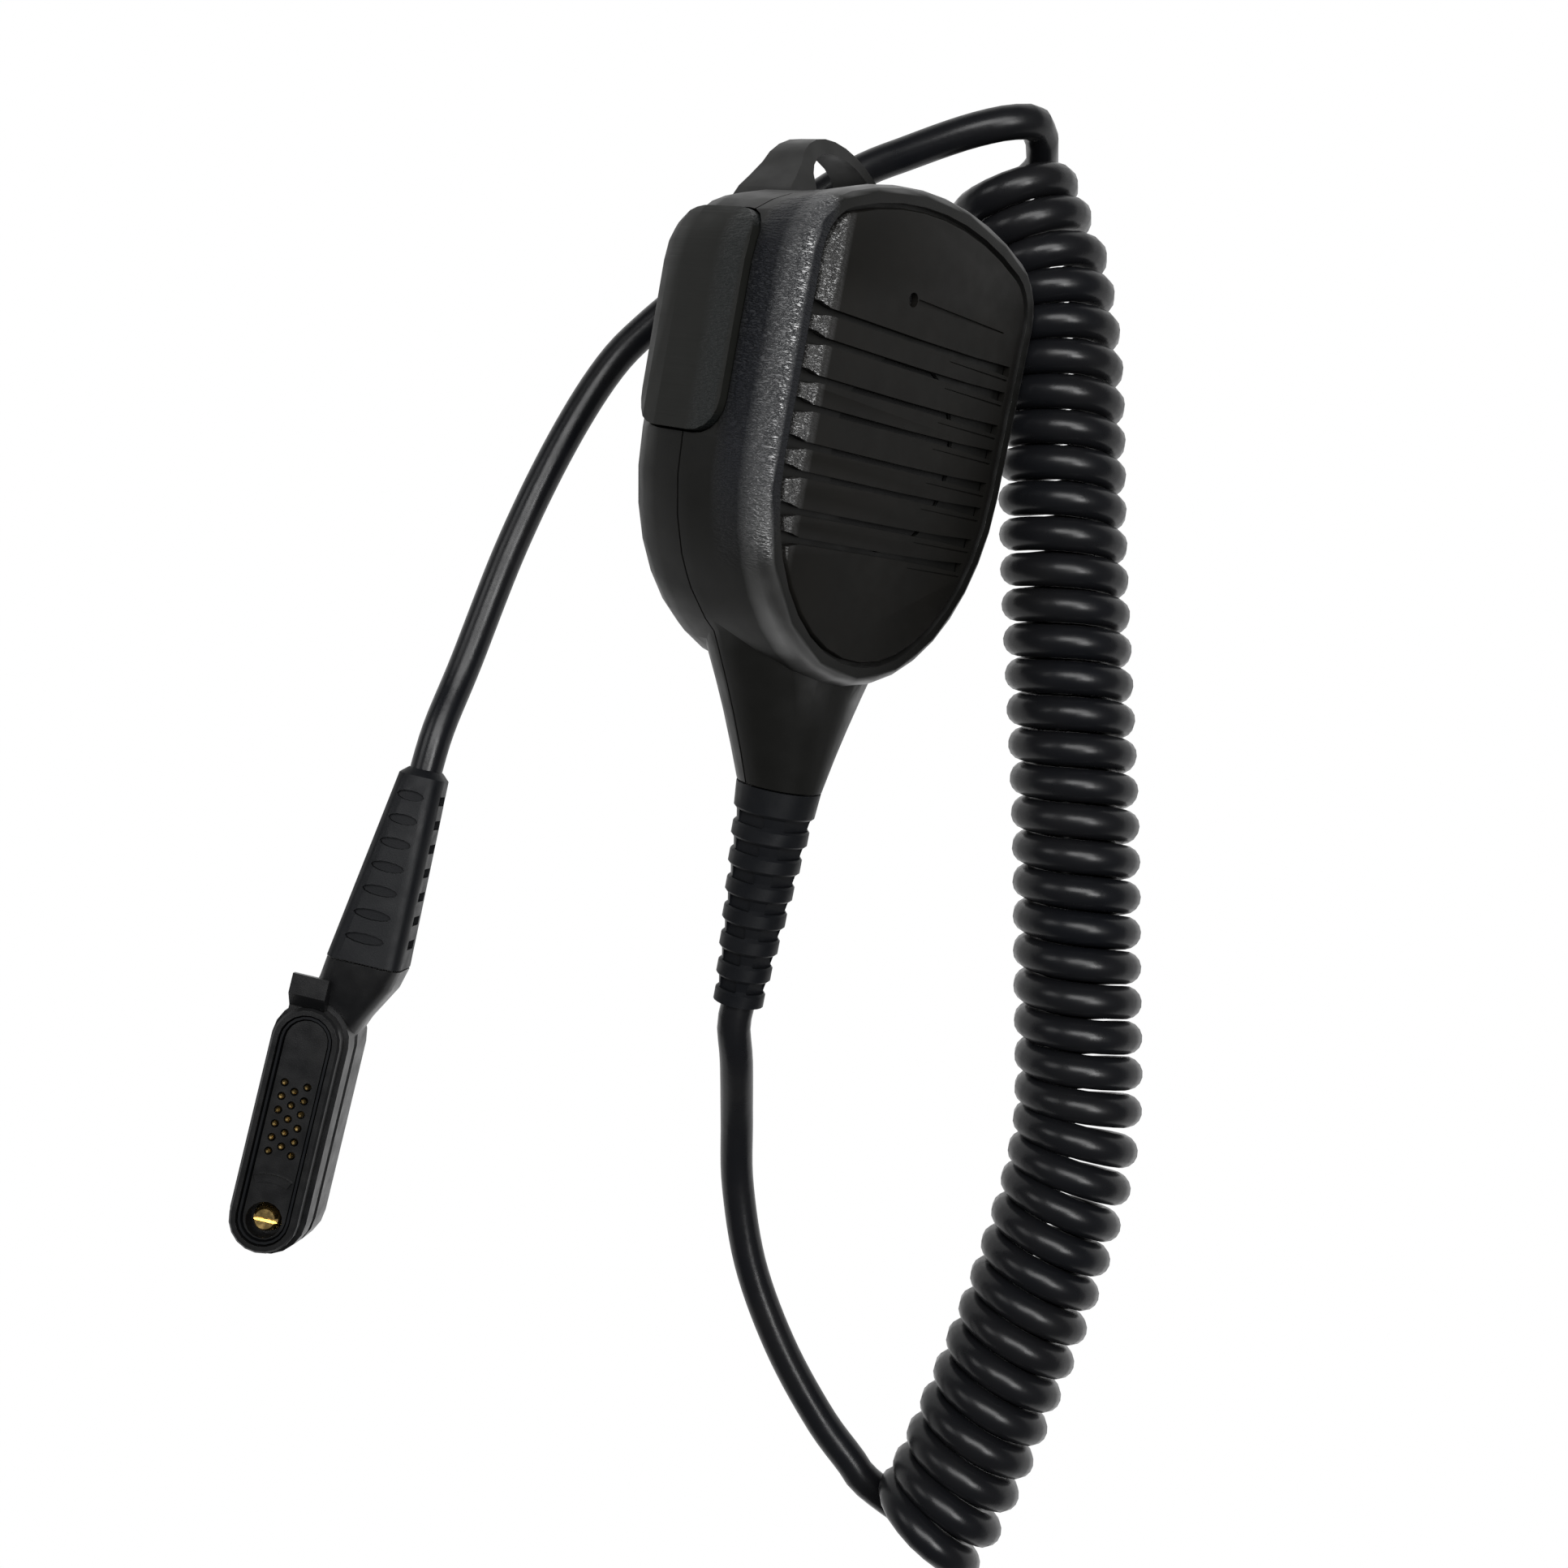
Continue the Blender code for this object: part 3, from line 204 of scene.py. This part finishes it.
class Recipe:
    """A material under construction: its tree, its shader, and the position in metres as a start."""

    def __init__(self, name, colour, roughness, metallic=0.0, shine=0.5):
        self.material = bpy.data.materials.new(name)
        self.material.use_nodes = True
        self.tree = self.material.node_tree
        self.shader = self.tree.nodes["Principled BSDF"]
        self.shader.inputs["Base Color"].default_value = (*colour, 1.0)
        self.shader.inputs["Roughness"].default_value = roughness
        self.shader.inputs["Metallic"].default_value = metallic
        self.shader.inputs["Specular IOR Level"].default_value = shine
        self.colour = colour
        coordinates = self.add("ShaderNodeTexCoord")
        self.place = coordinates.outputs["Object"]
        self.facing = coordinates.outputs["Normal"]
        self.normal = None

    def add(self, kind, **settings):
        node = self.tree.nodes.new(kind)
        for key, value in settings.items():
            setattr(node, key, value)
        return node

    def link(self, source, target):
        self.tree.links.new(source, target)

    def noise(self, size, detail=2.0, rough=0.5, place=None):
        """A noise whose marks have about a given size: in metres, unless another place is given."""
        node = self.add("ShaderNodeTexNoise")
        node.inputs["Scale"].default_value = 1.0 / size
        node.inputs["Detail"].default_value = detail
        node.inputs["Roughness"].default_value = rough
        self.link(place or self.place, node.inputs["Vector"])
        return node.outputs["Fac"]

    def ramp(self, source, low, high, out_low=0.0, out_high=1.0, smooth=False):
        """Goes from out_low to out_high while source goes from low to high, and no further."""
        node = self.add("ShaderNodeMapRange")
        if smooth:
            node.interpolation_type = "SMOOTHERSTEP"
        node.inputs["From Min"].default_value = low
        node.inputs["From Max"].default_value = high
        node.inputs["To Min"].default_value = out_low
        node.inputs["To Max"].default_value = out_high
        self.link(source, node.inputs["Value"])
        return node.outputs["Result"]

    def bump(self, height, depth):
        """Adds relief, depth metres deep, on top of the relief so far."""
        node = self.add("ShaderNodeBump")
        node.inputs["Strength"].default_value = 1.0
        node.inputs["Distance"].default_value = depth
        self.link(height, node.inputs["Height"])
        if self.normal is not None:
            self.link(self.normal, node.inputs["Normal"])
        self.normal = node.outputs["Normal"]
        self.link(self.normal, self.shader.inputs["Normal"])

    def tint(self, amount, low, high, shade):
        """Mixes the base colour towards another where amount goes from low to high."""
        node = self.add("ShaderNodeMix", data_type="RGBA")
        node.inputs["A"].default_value = (*self.colour, 1.0)
        node.inputs["B"].default_value = (*shade, 1.0)
        self.link(self.ramp(amount, low, high), node.inputs["Factor"])
        self.link(node.outputs["Result"], self.shader.inputs["Base Color"])

    def polish(self, amount, smooth, rough):
        """Roughness that follows a noise."""
        low, high = NOISE_SPREAD
        self.link(self.ramp(amount, low, high, smooth, rough), self.shader.inputs["Roughness"])

    def shine(self, amount, low, high):
        """Specular level that goes from low to high where amount goes from 0 to 1."""
        self.link(self.ramp(amount, 0.0, 1.0, low, high), self.shader.inputs["Specular IOR Level"])

    def times(self, first, second):
        node = self.add("ShaderNodeMath", operation="MULTIPLY")
        self.link(first, node.inputs[0])
        self.link(second, node.inputs[1])
        return node.outputs["Value"]

    def along(self, direction):
        """How far a point is from the head's origin along one of the head's own directions."""
        node = self.add("ShaderNodeVectorMath", operation="DOT_PRODUCT")
        node.inputs[1].default_value = direction
        self.link(self.place, node.inputs[0])
        shift = self.add("ShaderNodeMath", operation="SUBTRACT")
        shift.inputs[1].default_value = HEAD_ORIGIN.dot(direction)
        self.link(node.outputs["Value"], shift.inputs[0])
        return shift.outputs["Value"]

    def turned_from(self, direction):
        """1 where the surface faces well away from a direction, 0 where it faces straight along it."""
        node = self.add("ShaderNodeVectorMath", operation="DOT_PRODUCT")
        node.inputs[1].default_value = direction
        self.link(self.facing, node.inputs[0])
        return self.ramp(node.outputs["Value"], FACES_ALONG, TURNED_AWAY)

    def grain(self, wide, tall):
        """The height of a moulded grain whose marks are wider across the head than they are tall."""
        place = self.add("ShaderNodeCombineXYZ")
        for socket, direction, size in ((0, ACROSS, wide), (1, ALONG, tall), (2, OUTWARD, wide)):
            scaled = self.add("ShaderNodeMath", operation="DIVIDE")
            scaled.inputs[1].default_value = size
            self.link(self.along(direction), scaled.inputs[0])
            self.link(scaled.outputs["Value"], place.inputs[socket])
        marks = self.noise(size=1.0, rough=0.65, place=place.outputs["Vector"])
        return self.ramp(marks, *GRAIN_LEVELS)


def grain_bump(recipe, mask, depth):
    recipe.bump(recipe.times(recipe.grain(GRAIN_WIDE, GRAIN_TALL), mask), depth)


def housing():
    """Satin plastic, with a grained and shinier stretch along the upper front edge, painted lighter and
    bluish there as a painted sheen.
    """
    recipe = Recipe("housing_plastic_grained", (0.0050, 0.0050, 0.0046), 0.42)
    across, along, outward = recipe.along(ACROSS), recipe.along(ALONG), recipe.along(OUTWARD)
    grain_and_sheen_band = recipe.times(recipe.ramp(outward, *BAND_OUTWARD), recipe.ramp(along, *BAND_ALONG))
    grain_and_sheen_band = recipe.times(grain_and_sheen_band, recipe.ramp(across, *BAND_ACROSS))
    edge = recipe.times(recipe.ramp(outward, *EDGE_OUTWARD), recipe.turned_from(OUTWARD))
    edge = recipe.times(edge, recipe.ramp(along, *EDGE_ALONG))
    recipe.bump(recipe.noise(0.00020, detail=3.0), depth=0.000010)
    grain_bump(recipe, grain_and_sheen_band, depth=0.00022)
    recipe.shine(edge, low=0.14, high=1.30)
    # Painted sheen: the grained band's colour is made lighter and bluish, in place of light glancing off its
    # grain.
    recipe.tint(grain_and_sheen_band, low=0.0, high=1.0, shade=(0.0085, 0.0092, 0.0112))
    recipe.polish(recipe.noise(0.004, detail=3.0), smooth=0.36, rough=0.46)
    return recipe.material


def panel():
    """Satin plastic whose left edge is rounded off and grained."""
    recipe = Recipe("panel_satin", (0.0052, 0.0050, 0.0045), 0.42)
    across, along = recipe.along(ACROSS), recipe.along(ALONG)
    rim = recipe.times(recipe.ramp(across, *PANEL_RIM_ACROSS), recipe.ramp(along, *PANEL_RIM_ALONG))
    recipe.bump(recipe.ramp(across, *PANEL_ROUND_ACROSS, smooth=True), PANEL_ROUND_DEPTH)
    recipe.bump(recipe.noise(0.00018, detail=3.0), depth=0.000008)
    grain_bump(recipe, rim, depth=0.00020)
    recipe.shine(rim, low=0.08, high=1.10)
    recipe.tint(recipe.noise(0.010, detail=4.0), low=0.35, high=0.7, shade=(0.0064, 0.0060, 0.0052))
    recipe.polish(recipe.noise(0.003, detail=4.0), smooth=0.38, rough=0.48)
    return recipe.material


def key():
    """Rubber with faint lines across it and a grained strip along its front edge."""
    recipe = Recipe("key_rubber_lined", (0.0066, 0.0068, 0.0060), 0.46)
    outward = recipe.along(OUTWARD)
    strip = recipe.times(recipe.ramp(outward, *KEY_STRIP_BACK), recipe.ramp(outward, *KEY_STRIP_FRONT))
    recipe.bump(recipe.grain(LINE_LENGTH, LINE_PITCH), depth=0.00002)
    grain_bump(recipe, strip, depth=0.00012)
    recipe.shine(strip, low=0.16, high=0.30)
    recipe.tint(strip, low=0.0, high=1.0, shade=(0.0040, 0.0052, 0.0050))
    recipe.polish(recipe.noise(0.003, detail=4.0), smooth=0.40, rough=0.50)
    return recipe.material


def satin_plastic(name, colour, worn, roughness, texture=0.00018, depth=0.00002, shine=0.25):
    """A plain surface of one colour: a fine texture, and a second shade and gloss in soft patches."""
    recipe = Recipe(name, colour, roughness, shine=shine)
    recipe.bump(recipe.noise(texture, detail=3.0, rough=0.6), depth)
    recipe.tint(recipe.noise(0.010, detail=4.0), low=0.35, high=0.7, shade=worn)
    recipe.polish(recipe.noise(0.003, detail=4.0), smooth=roughness - 0.06, rough=roughness + 0.08)
    return recipe.material


def sheath():
    """The cord's smooth jacket, slightly uneven, with a soft gloss."""
    recipe = Recipe("cord_sheath_satin", (0.0040, 0.0044, 0.0056), 0.30, shine=0.20)
    recipe.bump(recipe.noise(0.0016), depth=0.00003)
    recipe.bump(recipe.noise(0.00015), depth=0.000008)
    recipe.tint(recipe.noise(0.018, detail=3.0), low=0.3, high=0.7, shade=(0.0066, 0.0066, 0.0072))
    recipe.polish(recipe.noise(0.005, detail=4.0), smooth=0.25, rough=0.34)
    return recipe.material


def metal(name, colour, roughness):
    """Plated metal, duller and a little darker in patches."""
    recipe = Recipe(name, colour, roughness, metallic=1.0)
    recipe.bump(recipe.noise(0.0002), depth=0.00001)
    recipe.polish(recipe.noise(0.0012, detail=3.0), smooth=roughness - 0.07, rough=roughness + 0.12)
    recipe.tint(recipe.noise(0.002, detail=3.0), low=0.4, high=0.75, shade=tuple(0.8 * c for c in colour))
    return recipe.material


FINISH = {
    "housing": housing(),
    "panel": panel(),
    "key": key(),
    "rubber": satin_plastic("rubber_satin", (0.0036, 0.0040, 0.0050), (0.0048, 0.0052, 0.0060), 0.44,
                            shine=0.12),
    "cord": sheath(),
    "clip": satin_plastic("clip_satin", (0.0080, 0.0080, 0.0080), (0.0100, 0.0100, 0.0095), 0.42),
    "steel": metal("steel_plated", (0.52, 0.52, 0.53), 0.30),
    "brass": metal("brass_gilt", (0.88, 0.62, 0.24), 0.24),
    "board": satin_plastic("board_green", (0.02, 0.10, 0.05), (0.03, 0.14, 0.07), 0.40),
    "cloth": satin_plastic("dust_cloth", (0.010, 0.010, 0.010), (0.016, 0.016, 0.016), 0.85,
                           texture=0.0004, depth=0.0001),
}
PLUG_SHELL = satin_plastic("plug_satin", (0.0045, 0.0047, 0.0052), (0.0060, 0.0060, 0.0062), 0.34,
                           shine=0.26)
PLUG_SHELL_NODES = ("plug_body", "contact_block")

# ---------------------------------------------------------------- shading and edges of the CAD nodes
MERGE_DISTANCE = 0.000002
SMOOTH_BELOW = math.radians(34)         # an edge bent less than this is shaded smooth
ROUND_ABOVE = math.radians(38)          # an edge bent more than this is rounded
ROUNDING_SEGMENTS = 3
EDGE_ROUNDING = {                       # width of the round on a node's sharp edges
    "ptt_button": 0.0007, "front_shell": 0.00025, "back_shell": 0.00025, "plug_body": 0.00020,
    "plug_boot": 0.00030, "neck_strain_relief": 0.00020, "clip_base": 0.00030, "clip_lever": 0.00030,
}


def smooth_by_angle():
    """A node group that joins the loose triangles of a mesh and shades its gentle edges smooth."""
    group = bpy.data.node_groups.new("smooth_by_angle", "GeometryNodeTree")
    group.interface.new_socket("Geometry", in_out="INPUT", socket_type="NodeSocketGeometry")
    group.interface.new_socket("Geometry", in_out="OUTPUT", socket_type="NodeSocketGeometry")
    start = group.nodes.new("NodeGroupInput")
    end = group.nodes.new("NodeGroupOutput")
    clear = group.nodes.new("GeometryNodeRemoveAttribute")
    clear.inputs["Name"].default_value = "custom_normal"
    merge = group.nodes.new("GeometryNodeMergeByDistance")
    merge.inputs["Distance"].default_value = MERGE_DISTANCE
    faces = group.nodes.new("GeometryNodeSetShadeSmooth")
    faces.domain = "FACE"
    edges = group.nodes.new("GeometryNodeSetShadeSmooth")
    edges.domain = "EDGE"
    angle = group.nodes.new("GeometryNodeInputMeshEdgeAngle")
    gentle = group.nodes.new("FunctionNodeCompare")
    gentle.operation = "LESS_THAN"
    gentle.inputs["B"].default_value = SMOOTH_BELOW
    links = group.links
    links.new(angle.outputs["Unsigned Angle"], gentle.inputs["A"])
    links.new(start.outputs["Geometry"], clear.inputs["Geometry"])
    links.new(clear.outputs["Geometry"], merge.inputs["Geometry"])
    links.new(merge.outputs["Geometry"], faces.inputs["Geometry"])
    links.new(faces.outputs["Geometry"], edges.inputs["Geometry"])
    links.new(gentle.outputs["Result"], edges.inputs["Shade Smooth"])
    links.new(edges.outputs["Geometry"], end.inputs["Geometry"])
    return group


def soften(node, smoothing, width):
    """Smooth shading over gentle edges, and a small round on the sharp ones where it's wanted."""
    smooth = node.modifiers.new("smooth", "NODES")
    smooth.node_group = smoothing
    if width == 0.0:
        return
    rounding = node.modifiers.new("rounding", "BEVEL")
    rounding.width = width
    rounding.segments = ROUNDING_SEGMENTS
    rounding.limit_method = "ANGLE"
    rounding.angle_limit = ROUND_ABOVE
    rounding.use_clamp_overlap = True
    evening = node.modifiers.new("evening", "WEIGHTED_NORMAL")
    evening.keep_sharp = True


def dress_nodes():
    """Every CAD node gets the finish of its slot, or the plug's own finish, and softened edges."""
    smoothing = smooth_by_angle()
    for entry in frame["record"]["subparts"]:
        name = entry["node"]
        node = frame["nodes"].get(name)
        if node is None:
            continue
        finish = PLUG_SHELL if name in PLUG_SHELL_NODES else FINISH[entry["material_slot"]]
        node.data.materials.clear()
        node.data.materials.append(finish)
        soften(node, smoothing, EDGE_ROUNDING.get(name, 0.0))


# ---------------------------------------------------------------- studio
FLOOR_HALF_WIDTH = 1.6
FLOOR_GLOW = 1.0
WORLD_GLOW = 0.07
SOFTBOXES = (       # name, place, the point it faces, width and height, power in watts
    ("overhead", (0.02, 0.15, 0.72), (0.02, 0.0, 0.0), (0.60, 0.28), 6.0),
    ("right_key", (0.32, -0.05, 0.68), (0.05, 0.0, 0.0), (0.20, 0.20), 2.8),
    ("left_fill", (-0.72, 0.12, 0.52), (0.0, 0.02, 0.0), (0.35, 0.35), 1.5),
)
CAMERA_PLACE = (0.00341, -0.03196, 0.300)
CAMERA_TURN = math.radians(10.73)       # about the vertical: the camera looks straight down
CAMERA_SENSOR_MM = 36.0
CAMERA_LENS_MM = 39.13
WHITE = (1.0, 1.0, 1.0)
BLACK = (0.0, 0.0, 0.0)


def floor():
    """A plain floor that shines white by itself, so it takes no shadow."""
    half = FLOOR_HALF_WIDTH
    mesh = bpy.data.meshes.new("floor")
    corners = [(-half, -half, 0), (half, -half, 0), (half, half, 0), (-half, half, 0)]
    mesh.from_pydata(corners, [], [(0, 1, 2, 3)])
    bright = Recipe("floor_bright", BLACK, 0.9, shine=0.0)
    bright.shader.inputs["Emission Color"].default_value = (*WHITE, 1.0)
    bright.shader.inputs["Emission Strength"].default_value = FLOOR_GLOW
    mesh.materials.append(bright.material)
    made = bpy.data.objects.new("floor", mesh)
    bpy.context.scene.collection.objects.link(made)


def world():
    made = bpy.data.worlds.new("studio")
    made.use_nodes = True
    background = made.node_tree.nodes["Background"]
    background.inputs["Color"].default_value = (*WHITE, 1.0)
    background.inputs["Strength"].default_value = WORLD_GLOW
    bpy.context.scene.world = made


def softbox(name, place, aim, size, power):
    data = bpy.data.lights.new(name, "AREA")
    data.shape = "RECTANGLE"
    data.size, data.size_y = size
    data.energy = power
    light = bpy.data.objects.new(name, data)
    light.location = place
    light.rotation_euler = (Vector(aim) - Vector(place)).to_track_quat("-Z", "Y").to_euler()
    bpy.context.scene.collection.objects.link(light)


def camera():
    data = bpy.data.cameras.new("camera")
    data.sensor_width = CAMERA_SENSOR_MM
    data.lens = CAMERA_LENS_MM
    data.clip_start = 0.01
    made = bpy.data.objects.new("camera", data)
    made.location = CAMERA_PLACE
    made.rotation_euler = (0.0, 0.0, CAMERA_TURN)
    bpy.context.scene.collection.objects.link(made)
    bpy.context.scene.camera = made


def studio():
    floor()
    world()
    for settings in SOFTBOXES:
        softbox(*settings)
    bpy.context.scene.view_settings.view_transform = "Standard"


camera()
studio()
build_cord()
dress_nodes()

bpy.context.view_layer.update()
